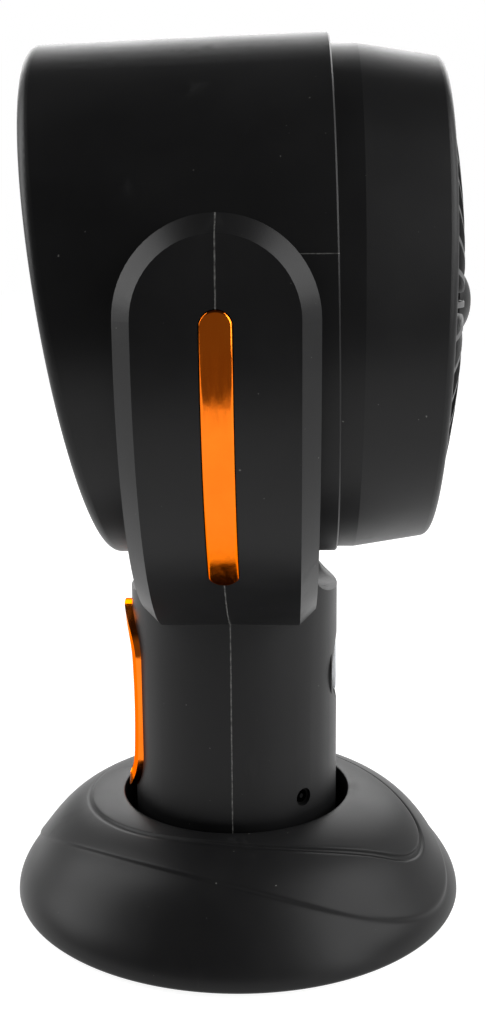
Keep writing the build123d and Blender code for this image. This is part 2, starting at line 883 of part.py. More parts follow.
with BuildPart() as bracket_lugs:
    with BuildSketch(air_plane.offset(bracket_front)):
        with PolarLocations((lug_inner_radius + cowl_front_radius) / 2, bracket_arms, 45):
            Rectangle(cowl_front_radius - lug_inner_radius, lug_width)
    extrude(amount=lug_length)
    add(cowl_inside.part, mode=Mode.INTERSECT)

screw_circle = (lug_inner_radius + bracket_reach) / 2
with BuildPart() as rear_cowl:
    revolve(cowl_cone(0), axis=cowl_axis)
    extrude(side_outline(0, 0), amount=2 * cowl_front_radius, both=True, mode=Mode.INTERSECT)
    fillet(rear_cowl.faces().sort_by(Axis.X)[0].edges(), rear_round)
    chamfer(rear_cowl.faces().sort_by(Axis.X)[-1].edges(), seam_chamfer)
    add(cowl_cavity.part, mode=Mode.SUBTRACT)
    for sign in (-1, 1):
        with BuildSketch(tilt_pieces(sign).offset(tilt_boss_inner)):
            Circle(tilt_boss_radius)
        extrude(amount=tilt_boss_face - tilt_boss_inner)
    add(bracket_lugs.part)
    with BuildSketch(rear_plane):
        Circle(rear_opening_radius)
    extrude(amount=-2 * rear_lip, mode=Mode.SUBTRACT)
    with BuildSketch(air_plane.offset(seam_x - 3 * front_lip)):
        Circle(spigot_radius + fit_gap)
    extrude(amount=6 * front_lip, mode=Mode.SUBTRACT)
    with BuildSketch(side_plane):
        Circle(pin_radius + fit_gap)
    extrude(amount=2 * cowl_front_radius, both=True, mode=Mode.SUBTRACT)
    with BuildSketch(air_plane.offset(bracket_front)):
        with PolarLocations(screw_circle, bracket_arms, 45):
            Circle(small_screw_radius + fit_gap)
    extrude(amount=8, mode=Mode.SUBTRACT)
save(rear_cowl, "rear_cowl")

# Rear intake grille, seated behind the cowl's rear lip
lip_plane = rear_plane.offset(-rear_lip - fit_gap)
bar_length = rear_opening_radius - intake_hub_radius - 1
with BuildPart() as intake_grille:
    with BuildSketch(lip_plane):
        Circle(rear_opening_radius + intake_flange)
        Circle(rear_opening_radius - intake_flange, mode=Mode.SUBTRACT)
    extrude(amount=-intake_flange_thickness)
    with BuildSketch(lip_plane):
        Circle(rear_opening_radius - seat_gap)
        Circle(rear_opening_radius - intake_flange, mode=Mode.SUBTRACT)
        Circle(intake_ring_radius + intake_ring_width)
        Circle(intake_ring_radius, mode=Mode.SUBTRACT)
        Circle(intake_hub_radius)
        with PolarLocations((intake_hub_radius + rear_opening_radius) / 2 - 1, intake_bars):
            Rectangle(bar_length, intake_bar_width)
    extrude(amount=rear_lip - intake_recess)
save(intake_grille, "intake_grille")

# Front ring
seam_reach = 2 * cowl_front_radius
with BuildPart() as front_ring:
    with BuildSketch(air_side):
        Polygon(
            (seam_x - 8, 0),
            (ring_front_x + 8, 0),
            (ring_front_x + 8, ring_front_radius - 8 * (ring_radius - ring_front_radius)
             / (ring_front_x - ring_flat_end)),
            (ring_flat_end, ring_radius),
            (seam_x - 8, ring_radius),
            align=None,
        )
    revolve(axis=air_axis)
    with BuildSketch(air_side):
        Polygon(
            (seam_x + fit_gap + seam_reach * tan(radians(seam_lean)), -seam_reach),
            (ring_front_x - seam_reach * tan(lean), -seam_reach),
            (ring_front_x + seam_reach * tan(lean), seam_reach),
            (seam_x + fit_gap - seam_reach * tan(radians(seam_lean)), seam_reach),
            align=None,
        )
    extrude(amount=seam_reach, both=True, mode=Mode.INTERSECT)
    fillet(front_ring.faces().sort_by(Axis.X)[-1].edges(), ring_round)
    with BuildSketch(air_plane.offset(seam_x - spigot_length)):
        Circle(spigot_radius)
    extrude(amount=spigot_length + 4)
    with BuildSketch(air_side):
        Polygon(
            (seam_x - 2 * spigot_length, 0),
            (ring_front_x, 0),
            (ring_front_x, ledge_radius),
            (ledge_x, ledge_radius),
            (ledge_x - 4, ring_bore_radius),
            (ring_flat_end, spigot_radius - ring_wall),
            (seam_x - 2 * spigot_length, spigot_radius - ring_wall),
            align=None,
        )
    revolve(axis=air_axis, mode=Mode.SUBTRACT)
    with BuildSketch(grille_plane.offset(-fit_gap)):
        Circle(ring_bore_radius)
    extrude(amount=2 * ring_front_x - 2 * ledge_x, mode=Mode.SUBTRACT)
save(front_ring, "front_ring")

# Front grille: a domed fan of radial ribs between the rim and the hub
grille_outer = ring_bore_radius - grille_gap
rib_outer = (grille_outer + grille_rim_radius) / 2
rib_inner = hub_radius - 1
rib_middle = (rib_inner + rib_outer) / 2
with BuildPart() as front_grille:
    with BuildSketch(grille_side):
        with BuildLine():
            crest = ThreePointArc(
                (crest_hub, hub_radius + rib_corner),
                (crest_mid, rib_middle),
                (crest_rim, rib_outer),
            )
            root = ThreePointArc(
                (crest_rim - rib_depth_rim, rib_outer),
                (crest_mid - (rib_depth_hub + rib_depth_rim) / 2, rib_middle),
                (crest_hub - rib_depth_hub, rib_inner),
            )
            Line(crest @ 1, root @ 0)
            Line(root @ 1, (crest_hub - rib_corner, rib_inner))
            Line((crest_hub - rib_corner, rib_inner), (crest_hub - rib_corner, hub_radius + 0.6))
            ThreePointArc(
                (crest_hub - rib_corner, hub_radius + 0.6),
                (crest_hub - 0.3 * rib_corner, hub_radius + 0.3 * rib_corner),
                crest @ 0,
            )
        make_face()
    extrude(amount=rib_thickness / 2, both=True)
    one_rib = front_grille.part
    for turn in range(1, rib_count):
        add(one_rib.rotate(grille_axis, turn * 360 / rib_count))
    with BuildSketch(grille_side):
        with BuildLine():
            Polyline(
                (0, grille_rim_radius),
                (grille_rim_depth, grille_rim_radius),
                (grille_rim_depth, grille_outer),
                (0, grille_outer),
                close=True,
            )
        make_face()
        Polygon(
            (hub_face - hub_thickness, 0),
            (hub_face, 0),
            (hub_face - hub_round, hub_radius),
            (hub_face - hub_skirt, hub_radius),
            (hub_face - hub_skirt, hub_radius - hub_thickness),
            (hub_face - hub_thickness - hub_round, hub_radius - hub_thickness),
            align=None,
        )
    revolve(axis=grille_axis)
    with BuildSketch(grille_plane.offset(hub_face + 1)):
        Circle(cap_stem_radius + fit_gap)
    extrude(amount=-hub_skirt, mode=Mode.SUBTRACT)
save(front_grille, "front_grille")

cap_seat = hub_face + fit_gap
with BuildPart() as grille_cap:
    with BuildSketch(grille_side):
        with BuildLine():
            crown = ThreePointArc(
                (cap_tip, 0),
                (cap_tip - (cap_tip - cap_seat - cap_side) * 0.28, cap_radius * 0.6),
                (cap_seat + cap_side, cap_radius),
            )
            Polyline(
                crown @ 1,
                (cap_seat, cap_radius),
                (cap_seat, cap_stem_radius),
                (cap_seat - cap_stem_length, cap_stem_radius),
                (cap_seat - cap_stem_length, 0),
                crown @ 0,
            )
        make_face()
    revolve(axis=grille_axis)
save(grille_cap, "grille_cap")

# Motor bracket, motor and shaft
with BuildPart() as motor_bracket:
    with BuildSketch(air_plane.offset(bracket_x)):
        Circle(bracket_hub_radius)
        with PolarLocations(bracket_reach / 2, bracket_arms, 45):
            Rectangle(bracket_reach, bracket_arm_width)
        with PolarLocations(screw_circle, bracket_arms, 45):
            Circle(small_screw_radius + fit_gap, mode=Mode.SUBTRACT)
        with PolarLocations(motor_screw_circle, bracket_arms):
            Circle(small_screw_radius + fit_gap, mode=Mode.SUBTRACT)
    extrude(amount=bracket_thickness)
save(motor_bracket, "motor_bracket")

with BuildPart() as bracket_screws:
    with BuildSketch(air_plane.offset(bracket_x)):
        with PolarLocations(screw_circle, bracket_arms, 45):
            Circle(screw_head_radius)
    extrude(amount=-screw_head_height)
    with BuildSketch(air_plane.offset(bracket_x)):
        with PolarLocations(screw_circle, bracket_arms, 45):
            Circle(small_screw_radius)
    extrude(amount=bracket_thickness + 7)
save(bracket_screws, "bracket_screws")

shaft_start = bracket_front + shaft_back_inset
with BuildPart() as motor_body:
    with BuildSketch(air_plane.offset(bracket_front)):
        Circle(motor_radius)
    extrude(amount=motor_length)
    fillet(motor_body.faces().sort_by(Axis.X)[-1].edges(), motor_round)
    with BuildSketch(air_plane.offset(motor_front)):
        Circle(motor_boss_radius)
    extrude(amount=motor_boss_length)
    with BuildSketch(air_plane.offset(shaft_start)):
        Circle(shaft_radius + fit_gap)
    extrude(amount=motor_length + motor_boss_length, mode=Mode.SUBTRACT)
    with BuildSketch(air_plane.offset(bracket_front)):
        with PolarLocations(motor_screw_circle, bracket_arms):
            Circle(small_screw_radius + fit_gap)
    extrude(amount=6, mode=Mode.SUBTRACT)
save(motor_body, "motor_body")

with BuildPart() as motor_screws:
    with BuildSketch(air_plane.offset(bracket_x)):
        with PolarLocations(motor_screw_circle, bracket_arms):
            Circle(screw_head_radius)
    extrude(amount=-screw_head_height)
    with BuildSketch(air_plane.offset(bracket_x)):
        with PolarLocations(motor_screw_circle, bracket_arms):
            Circle(small_screw_radius)
    extrude(amount=bracket_thickness + 5)
save(motor_screws, "motor_screws")

with BuildPart() as motor_shaft:
    with BuildSketch(air_plane.offset(shaft_start + seat_gap)):
        Circle(shaft_radius)
    extrude(amount=nut_front - 3 - shaft_start)
save(motor_shaft, "motor_shaft")

# Impeller: a cup hub with twisted blades
blade_centre_x = impeller_back + impeller_hub_length / 2


def blade_section(radius, chord, angle):
    # a thin cambered section that lies across the blade at the given radius
    place = Plane(
        origin=(blade_centre_x, 0, air_axis_height + radius), x_dir=(0, 1, 0), z_dir=(0, 0, 1)
    )
    camber = 0.1 * chord
    with BuildSketch(place.rotated((0, 0, angle))) as section:
        with BuildLine():
            ThreePointArc((-chord / 2, 0), (0, camber + blade_thickness), (chord / 2, 0))
            ThreePointArc((chord / 2, 0), (0, camber), (-chord / 2, 0))
        make_face()
    return section.sketch


with BuildPart() as blade:
    loft(
        [
            blade_section(impeller_hub_radius - 5, blade_root_chord, blade_root_angle),
            blade_section(blade_tip_radius + 2, blade_tip_chord, blade_tip_angle),
        ],
        ruled=True,
    )
    with BuildSketch(air_side):
        with Locations((blade_centre_x, (impeller_hub_radius + blade_tip_radius) / 2 - 0.5)):
            Rectangle(2 * impeller_hub_length, blade_tip_radius - impeller_hub_radius + 1)
    revolve(axis=air_axis, mode=Mode.INTERSECT)

with BuildPart() as impeller:
    with BuildSketch(air_side):
        Polygon(
            (impeller_back, impeller_hub_radius - impeller_wall),
            (impeller_back, impeller_hub_radius),
            (impeller_front - 4, impeller_hub_radius),
            (impeller_front, impeller_hub_radius - 5),
            (impeller_front, shaft_radius + fit_gap),
            (impeller_back + 2, shaft_radius + fit_gap),
            (impeller_back + 2, impeller_boss_radius),
            (impeller_front - impeller_wall, impeller_boss_radius),
            (impeller_front - impeller_wall, impeller_hub_radius - 6),
            (impeller_front - 6, impeller_hub_radius - impeller_wall),
            align=None,
        )
    revolve(axis=air_axis)
    for turn in range(blade_count):
        add(blade.part.rotate(air_axis, turn * 360 / blade_count))
save(impeller, "impeller")

with BuildPart() as impeller_nut:
    with BuildSketch(air_plane.offset(impeller_front + fit_gap)):
        Circle(nut_radius)
    extrude(amount=nut_length)
    fillet(impeller_nut.faces().sort_by(Axis.X)[-1].edges(), 3)
    with BuildSketch(air_plane.offset(impeller_front)):
        Circle(shaft_radius + fit_gap)
    extrude(amount=nut_length - 2, mode=Mode.SUBTRACT)
save(impeller_nut, "impeller_nut")
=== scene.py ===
import json
import math

import bmesh
import bpy
import numpy as np
from mathutils import Matrix, Vector


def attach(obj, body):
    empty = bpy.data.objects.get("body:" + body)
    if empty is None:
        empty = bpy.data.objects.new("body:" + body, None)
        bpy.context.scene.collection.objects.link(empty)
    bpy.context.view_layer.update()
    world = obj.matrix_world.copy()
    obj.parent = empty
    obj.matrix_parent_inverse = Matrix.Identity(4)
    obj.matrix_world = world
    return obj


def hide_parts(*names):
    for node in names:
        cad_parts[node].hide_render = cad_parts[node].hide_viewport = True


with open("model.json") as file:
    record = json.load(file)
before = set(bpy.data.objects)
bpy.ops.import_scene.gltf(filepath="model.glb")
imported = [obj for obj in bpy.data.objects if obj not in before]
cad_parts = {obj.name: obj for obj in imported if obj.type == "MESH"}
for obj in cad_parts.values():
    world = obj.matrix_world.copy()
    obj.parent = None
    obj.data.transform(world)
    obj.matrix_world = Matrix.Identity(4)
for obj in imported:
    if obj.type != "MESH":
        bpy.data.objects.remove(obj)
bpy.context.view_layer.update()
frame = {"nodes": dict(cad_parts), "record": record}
nodes = frame["nodes"]
record = frame["record"]
scene = bpy.context.scene

# Lengths are in metres (the camera's sensor is in millimetres) and angles in radians.

# Camera of the photograph, solved from the fan's own forms
cam_distance = 0.570
cam_height = 0.2952
cam_yaw = 0.04069
cam_pan = -0.0072
cam_pitch = 0.2085
cam_roll = 0.009173
cam_sensor = 24.0
focal_pixels = 1331.0
image_height = 1024

# Base cover, which replaces the plain round one: an oval dome that is turned on the floor
base_turn = math.radians(-27.0)
base_half_length = 0.1007
base_half_width = 0.0984
base_widest_height = 0.0034
base_bottom = 0.0016
base_undercut = 0.0017
base_flank = (0.0907, 0.0190)
base_shoulder = (0.0761, 0.0363)
base_top = 0.0468
base_wall = 0.0026
section_start_radius = 0.0454
section_start_slope = (1, -0.03)
section_steps = 160
well_radius = 0.0507
well_lip = 0.0008
plate_seat_radius = 0.0933
plate_seat_gap = 0.0002
plate_top = 0.0042
# how far along the section, from the well's lip, the underside ends
underside_end = 0.004
# the form is round inside the first radius and has its full oval from the second
round_until = 0.055
oval_from = 0.088
around = 720

# Crown, the stepped oval on the dome, and collar, the petal-shaped field on the crown
crown_half_length = 0.0980
crown_half_width = 0.0724
crown_step = 0.0009
collar_centre = -0.0090
collar_radius = 0.0575
collar_turn = math.radians(7.0)
collar_flank_radius = 0.1159
collar_nose_centre = 0.0540
collar_nose_radius = 0.0300
collar_step = 0.0004
# the groove round the petal is full near its nose and fades towards its back
groove_depth = 0.0009
groove_full = math.radians(42.0)
groove_gone = math.radians(85.0)
groove_faint = 0.15

# Edges of the base cover, as rows of points
# outward from the well and down from the lip
lip_rows = ((0.0, 0.0009), (0.0001, 0.0004), (0.0004, 0.0001))
# inward from the petal's outline, and the shares of the petal's, groove's and crown's height
collar_rows = (
    (0.0008, 1.0, 0.0, 0.0), (0.00035, 0.96, 0.0, 0.0), (0.00012, 0.8, 0.0, 0.0),
    (-0.0001, 0.35, 0.65, 0.0), (-0.00035, 0.0, 1.0, 0.0), (-0.0015, 0.0, 1.0, 0.0),
    (-0.0018, 0.0, 0.7, 0.3), (-0.00205, 0.0, 0.2, 0.8), (-0.0025, 0.0, 0.0, 1.0),
)
# outward from the crown's outline, and the share of its height
crown_rows = (
    (-0.0009, 1.0), (-0.00045, 0.93), (-0.0001, 0.66),
    (0.00025, 0.3), (0.0006, 0.07), (0.0010, 0.0),
)
# inward from the widest ring, and height
rim_rows = ((0.0003, 0.0026), (0.0009, 0.0020), (base_undercut, base_bottom))
# how many rows fill the petal, the crown, the flank and the underside
petal_fill = 14
crown_fill = 20
flank_fill = 25
underside_fill = 30

# Screw posts under the dome
boss_count = 5
boss_start = math.radians(36.0)
boss_circle = 0.077
boss_radius = 0.0040
boss_bore_radius = 0.0016
boss_sides = 24

# Shoulders that lead the arms down to the column's rim
tilt_axis_height = 0.266
column_radius = 0.0453
half_arm = 0.0351
shoulder_inner = 0.0285
shoulder_top = 0.1520
shoulder_arc_centre = (0.04644, 0.15483)
shoulder_arc_radius = 0.01169
shoulder_trough_height = 0.199
shoulder_trough_radius = 0.056
shoulder_sink = 0.0008
shoulder_end_gap = 0.0003
shoulder_crease = math.radians(30.0)
shoulder_columns = 14
shoulder_lines = 41
saddle_arc_radius = 0.1148
saddle_arc_drop = 0.0162

# Amber bars in the arms
fork_radius = 0.131
fork_centre_height = 0.260
strip_half_width = 0.0058
strip_top = 0.270
strip_bottom = 0.166
strip_depth = 0.0013
strip_proud = 0.0005
strip_edge = 0.0016
strip_drop = 0.0012
strip_end_steps = 20
strip_side_steps = 44
strip_edge_steps = 8
# rows on the back and on the face, as shares of the way in from the edge
strip_back_share = 0.6
strip_face_shares = (0.3, 0.6)

# Fine lines on the mouldings
seam_half_width = 0.00018
seam_wander = 0.0003
cowl_line_height = 0.2872
cowl_line_half_width = 0.00012
cowl_line_wander = 0.0001
line_colour = (0.13, 0.13, 0.125)
dust_colour = (0.20, 0.20, 0.19)

# Studio: white floor that runs into a white backdrop, soft boxes, and a dark side by the camera
white = (1.0, 1.0, 1.0, 1.0)
floor_reach = 6.0
floor_front = -0.60
floor_glow = 0.92
# name, place, what it is aimed at, width, height, watts
soft_boxes = (
    ("box_back", (0.0, 1.5, 0.95), (0, 0, 0.3), 2.0, 0.8, 21),
    ("box_left", (-1.2, 0.1, 0.9), (0, 0, 0.15), 0.8, 1.3, 15),
    ("box_right", (1.15, -0.1, 1.0), (0, 0, 0.15), 0.8, 1.2, 14),
    ("box_front_right", (1.0, -0.75, 0.6), (0, 0, 0.10), 0.3, 1.1, 8),
)


def make_camera():
    heading = cam_yaw + cam_pan
    forward = Vector((
        -math.sin(heading) * math.cos(cam_pitch),
        math.cos(heading) * math.cos(cam_pitch),
        -math.sin(cam_pitch),
    ))
    right = Vector((math.cos(heading), math.sin(heading), 0.0))
    down = forward.cross(right)
    image_right = right * math.cos(cam_roll) + down * math.sin(cam_roll)
    image_down = down * math.cos(cam_roll) - right * math.sin(cam_roll)
    place = Vector((
        cam_distance * math.sin(cam_yaw),
        -cam_distance * math.cos(cam_yaw),
        cam_height,
    ))
    data = bpy.data.cameras.new("camera")
    data.sensor_fit = "VERTICAL"
    data.sensor_height = cam_sensor
    data.lens = focal_pixels / image_height * cam_sensor
    data.clip_start = 0.01
    data.clip_end = 50.0
    camera = bpy.data.objects.new("camera", data)
    turn = Matrix((image_right, -image_down, -forward)).transposed().to_4x4()
    camera.matrix_world = Matrix.Translation(place) @ turn
    scene.collection.objects.link(camera)
    scene.camera = camera


class Nodes:
    # short ways to put nodes into a tree
    def __init__(self, tree):
        self.tree = tree

    def add(self, kind, **settings):
        node = self.tree.nodes.new(kind)
        for key, value in settings.items():
            setattr(node, key, value)
        return node

    def link(self, output, socket):
        self.tree.links.new(output, socket)

    def remap(self, source, low, high, out_low, out_high):
        node = self.add("ShaderNodeMapRange")
        for key, value in zip(("From Min", "From Max", "To Min", "To Max"),
                              (low, high, out_low, out_high)):
            node.inputs[key].default_value = value
        self.link(source, node.inputs["Value"])
        return node.outputs["Result"]

    def math(self, operation, first, second=0.0):
        node = self.add("ShaderNodeMath", operation=operation)
        for socket, value in zip(node.inputs, (first, second)):
            if isinstance(value, (int, float)):
                socket.default_value = value
            else:
                self.link(value, socket)
        return node.outputs["Value"]


class Material(Nodes):
    def __init__(self, name):
        self.material = bpy.data.materials.new(name)
        self.material.use_nodes = True
        super().__init__(self.material.node_tree)
        self.shader = self.tree.nodes["Principled BSDF"]
        self.coords = self.add("ShaderNodeTexCoord").outputs["Object"]

    def set(self, **values):
        for key, value in values.items():
            self.shader.inputs[key.replace("_", " ")].default_value = value

    def drive(self, **outputs):
        for key, output in outputs.items():
            self.link(output, self.shader.inputs[key.replace("_", " ")])

    def noise(self, scale, detail, roughness=0.5, stretch=None):
        node = self.add("ShaderNodeTexNoise")
        node.inputs["Scale"].default_value = scale
        node.inputs["Detail"].default_value = detail
        node.inputs["Roughness"].default_value = roughness
        source = self.coords
        if stretch:
            mapping = self.add("ShaderNodeMapping")
            mapping.inputs["Scale"].default_value = stretch
            self.link(source, mapping.inputs["Vector"])
            source = mapping.outputs["Vector"]
        self.link(source, node.inputs["Vector"])
        return node.outputs["Fac"]

    def mix(self, factor, first, second):
        node = self.add("ShaderNodeMix", data_type="RGBA")
        self.link(factor, node.inputs["Factor"])
        # sockets 6 and 7 and output 2 are those of colours
        for socket, value in zip((node.inputs[6], node.inputs[7]), (first, second)):
            if isinstance(value, tuple):
                socket.default_value = (*value, 1.0)
            else:
                self.link(value, socket)
        return node.outputs[2]

    def place(self, axis):
        node = self.add("ShaderNodeSeparateXYZ")
        self.link(self.coords, node.inputs["Vector"])
        return node.outputs[axis]

    def fine_line(self, axis, where, half_width, wander):
        # 1 on a thin, slightly uneven line across the piece, 0 beside it
        shaky = self.math("MULTIPLY", self.math("SUBTRACT", self.noise(260.0, 3.0), 0.5), wander)
        off = self.math("ADD", self.math("SUBTRACT", self.place(axis), where), shaky)
        return self.remap(self.math("ABSOLUTE", off), half_width, 1.8 * half_width, 1.0, 0.0)

    def bump(self, height, strength, distance):
        node = self.add("ShaderNodeBump")
        node.inputs["Strength"].default_value = strength
        node.inputs["Distance"].default_value = distance
        self.link(height, node.inputs["Height"])
        self.drive(Normal=node.outputs["Normal"])


def moulded_plastic(name, dark, light, rough_low, rough_high, dust=0.5, rubs=0.35,
                    line=None, line_in_front_only=False):
    # moulded plastic: fine spark grain, cloudy gloss, a few specks of dust and faint rubs
    m = Material(name)
    cloud = m.noise(14.0, 4.0, 0.6)
    grain = m.noise(2600.0, 2.0)
    rub = m.noise(60.0, 6.0, 0.65, stretch=(1.0, 1.0, 0.18))
    speck = m.noise(620.0, 1.0, 0.4)
    body = m.mix(m.remap(cloud, 0.35, 0.7, 0.0, 1.0), dark, light)
    worn = m.mix(m.remap(rub, 0.66, 0.80, 0.0, rubs), body, tuple(3.0 * v for v in light))
    colour = m.mix(m.remap(speck, 0.815, 0.84, 0.0, dust), worn, dust_colour)
    height = grain
    if line:
        along = m.remap(m.noise(420.0, 2.0, 0.7), 0.35, 0.62, 0.25, 1.0)
        if line_in_front_only:
            along = m.math("MULTIPLY", along, m.remap(m.place("X"), 0.0, 0.001, 0.0, 1.0))
        mark = m.math("MULTIPLY", m.fine_line(*line), along)
        colour = m.mix(mark, colour, line_colour)
        height = m.math("SUBTRACT", grain, mark)
    rough = m.remap(cloud, 0.3, 0.75, rough_low, rough_high)
    rough = m.math("ADD", rough, m.remap(rub, 0.6, 0.8, 0.0, 0.12))
    m.drive(Base_Color=colour, Roughness=rough)
    m.bump(height, 0.22, 0.00012)
    m.set(IOR=1.5, Specular_IOR_Level=0.20)
    return m.material


def amber_chrome(name):
    # amber metallised plastic: mirror-like, slightly rippled, with fine handling marks
    m = Material(name)
    cloud = m.noise(30.0, 4.0, 0.6)
    mark = m.noise(420.0, 4.0, 0.6, stretch=(1.0, 1.0, 0.1))
    colour = m.mix(m.remap(cloud, 0.3, 0.7, 0.0, 1.0), (0.86, 0.160, 0.009), (0.93, 0.200, 0.013))
    m.drive(Base_Color=colour, Roughness=m.remap(mark, 0.45, 0.8, 0.12, 0.26))
    m.bump(m.noise(160.0, 2.0), 0.12, 0.0004)
    m.set(Metallic=1.0, Specular_Tint=(1.0, 0.45, 0.08, 1.0))
    return m.material


def plain_metal(name, colour, rough_low, rough_high, brushed=(1.0, 1.0, 1.0), scale=300.0):
    # bare metal: streaks along the brushed way, and a cloudy tone
    m = Material(name)
    streak = m.noise(scale, 5.0, 0.6, stretch=brushed)
    cloud = m.noise(25.0, 3.0, 0.6)
    shade = m.mix(m.remap(cloud, 0.3, 0.7, 0.0, 1.0), tuple(0.82 * v for v in colour), colour)
    m.drive(Base_Color=shade, Roughness=m.remap(streak, 0.3, 0.75, rough_low, rough_high))
    m.bump(streak, 0.15, 0.0001)
    m.set(Metallic=1.0)
    return m.material


def plain_solid(name, dark, light, rough_low, rough_high, grain_scale=1200.0, bump=0.15):
    # plain plastic, rubber or lacquer: a cloudy tone and a fine grain
    m = Material(name)
    cloud = m.noise(40.0, 4.0, 0.6)
    grain = m.noise(grain_scale, 3.0)
    colour = m.mix(m.remap(cloud, 0.3, 0.7, 0.0, 1.0), dark, light)
    m.drive(Base_Color=colour, Roughness=m.remap(grain, 0.3, 0.7, rough_low, rough_high))
    m.bump(grain, bump, 0.0001)
    return m.material


black = ((0.0050, 0.0050, 0.0053), (0.0080, 0.0080, 0.0083), 0.36, 0.46)
finishes = {
    "black_plastic": moulded_plastic("black_plastic_look", *black),
    "inner_plastic": moulded_plastic("inner_plastic_look", (0.02, 0.02, 0.021),
                                     (0.03, 0.03, 0.031), 0.5, 0.6, dust=0.2),
    "amber_trim": amber_chrome("amber_trim_look"),
    "button_silver": plain_solid("button_silver_look", (0.56, 0.57, 0.59), (0.66, 0.67, 0.69),
                                 0.22, 0.34),
    "impeller_plastic": moulded_plastic("impeller_plastic_look", (0.012, 0.012, 0.013),
                                        (0.02, 0.02, 0.021), 0.42, 0.52, dust=0.7),
    "rubber_pad": plain_solid("rubber_pad_look", (0.012, 0.012, 0.012), (0.022, 0.022, 0.021),
                              0.75, 0.9, bump=0.4),
    "steel": plain_metal("steel_look", (0.60, 0.60, 0.62), 0.22, 0.42),
    "ballast_iron": plain_metal("ballast_iron_look", (0.20, 0.19, 0.18), 0.55, 0.75, scale=700.0),
    "motor_steel": plain_metal("motor_steel_look", (0.46, 0.47, 0.49), 0.25, 0.40,
                               brushed=(0.05, 1.0, 1.0)),
    "acetal": plain_solid("acetal_look", (0.72, 0.71, 0.66), (0.82, 0.81, 0.77), 0.35, 0.5),
    "circuit_board": plain_solid("circuit_board_look", (0.012, 0.10, 0.035), (0.02, 0.15, 0.055),
                                 0.25, 0.45, grain_scale=420.0),
    "switch_plastic": plain_solid("switch_plastic_look", (0.01, 0.01, 0.01), (0.02, 0.02, 0.02),
                                  0.4, 0.55),
    # the inlet is nickel-plated, but it is coloured near black: painted shade, standing in for the
    # dark hole it sits in
    "inlet_metal": plain_metal("inlet_painted_shade_look", (0.008, 0.008, 0.008), 0.45, 0.6),
}
fork_look = moulded_plastic("fork_look", *black, line=("X", 0.0, seam_half_width, seam_wander))
cowl_look = moulded_plastic(
    "cowl_look", *black, line_in_front_only=True,
    line=("Z", cowl_line_height, cowl_line_half_width, cowl_line_wander),
)
base_look = moulded_plastic("base_look", *black, dust=0.8, rubs=0.6)
own_look = {"fork_front_shell": fork_look, "fork_rear_shell": fork_look, "rear_cowl": cowl_look}
slot_of = {entry["node"]: entry["material_slot"] for entry in record["subparts"]}
for name, thing in nodes.items():
    thing.data.materials.clear()
    thing.data.materials.append(own_look.get(name, finishes[slot_of[name]]))


def add_piece(name, points, faces, look, body):
    mesh = bpy.data.meshes.new(name)
    mesh.from_pydata([tuple(p) for p in points], [], faces)
    shape = bmesh.new()
    shape.from_mesh(mesh)
    bmesh.ops.recalc_face_normals(shape, faces=shape.faces)
    shape.to_mesh(mesh)
    shape.free()
    for face in mesh.polygons:
        face.use_smooth = True
    mesh.materials.append(look)
    piece = bpy.data.objects.new(name, mesh)
    scene.collection.objects.link(piece)
    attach(piece, body)
    return piece


def smooth_curve(points, first, last, steps):
    # cubic spline through the points, with given directions at its ends
    p = np.array(points)
    h = np.linalg.norm(np.diff(p, axis=0), axis=1)
    count = len(p)
    system = np.eye(count)
    given = np.zeros((count, 2))
    given[0], given[-1] = first, last
    for i in range(1, count - 1):
        system[i, i - 1:i + 2] = 1 / h[i - 1], 2 / h[i - 1] + 2 / h[i], 1 / h[i]
        given[i] = 3 * ((p[i] - p[i - 1]) / h[i - 1] ** 2 + (p[i + 1] - p[i]) / h[i] ** 2)
    slope = np.linalg.solve(system, given)
    t = np.linspace(0, 1, steps)[:, None]
    parts = []
    for i in range(count - 1):
        parts.append((2 * t**3 - 3 * t**2 + 1) * p[i] + (t**3 - 2 * t**2 + t) * h[i] * slope[i]
                     + (3 * t**2 - 2 * t**3) * p[i + 1] + (t**3 - t**2) * h[i] * slope[i + 1])
    return np.concatenate(parts)


def collar_depth(x, y):
    # how far inside the petal's outline a point lies, in the petal's own directions
    y = np.abs(y)
    back = collar_radius - np.hypot(x - collar_centre, y)
    flank_drop = collar_flank_radius - collar_radius
    flank = collar_flank_radius - np.hypot(x - collar_centre, y + flank_drop)
    nose = collar_nose_radius - np.hypot(x - collar_nose_centre, y)
    slope = flank_drop / (collar_nose_centre - collar_centre)
    in_nose = (x > collar_nose_centre) & (y < slope * (x - collar_nose_centre))
    return np.where(in_nose, nose, np.where(x < collar_centre, back, flank))


def screw_post(turn, dome_height, first):
    # a tube from the plate up into the dome's wall; its points are numbered from first
    centre = boss_circle * Vector((math.cos(turn), math.sin(turn)))
    points, faces = [], []
    for radius, top in ((boss_bore_radius, False), (boss_radius, False),
                        (boss_radius, True), (boss_bore_radius, True)):
        for i in range(boss_sides):
            a = 2 * math.pi * i / boss_sides
            spot = centre + radius * Vector((math.cos(a), math.sin(a)))
            height = dome_height(spot.length) - base_wall / 2 if top else plate_top
            points.append((spot.x, spot.y, height))
    for j in range(4):
        for i in range(boss_sides):
            k, n = (i + 1) % boss_sides, (j + 1) % 4
            faces.append((first + j * boss_sides + i, first + j * boss_sides + k,
                          first + n * boss_sides + k, first + n * boss_sides + i))
    return points, faces


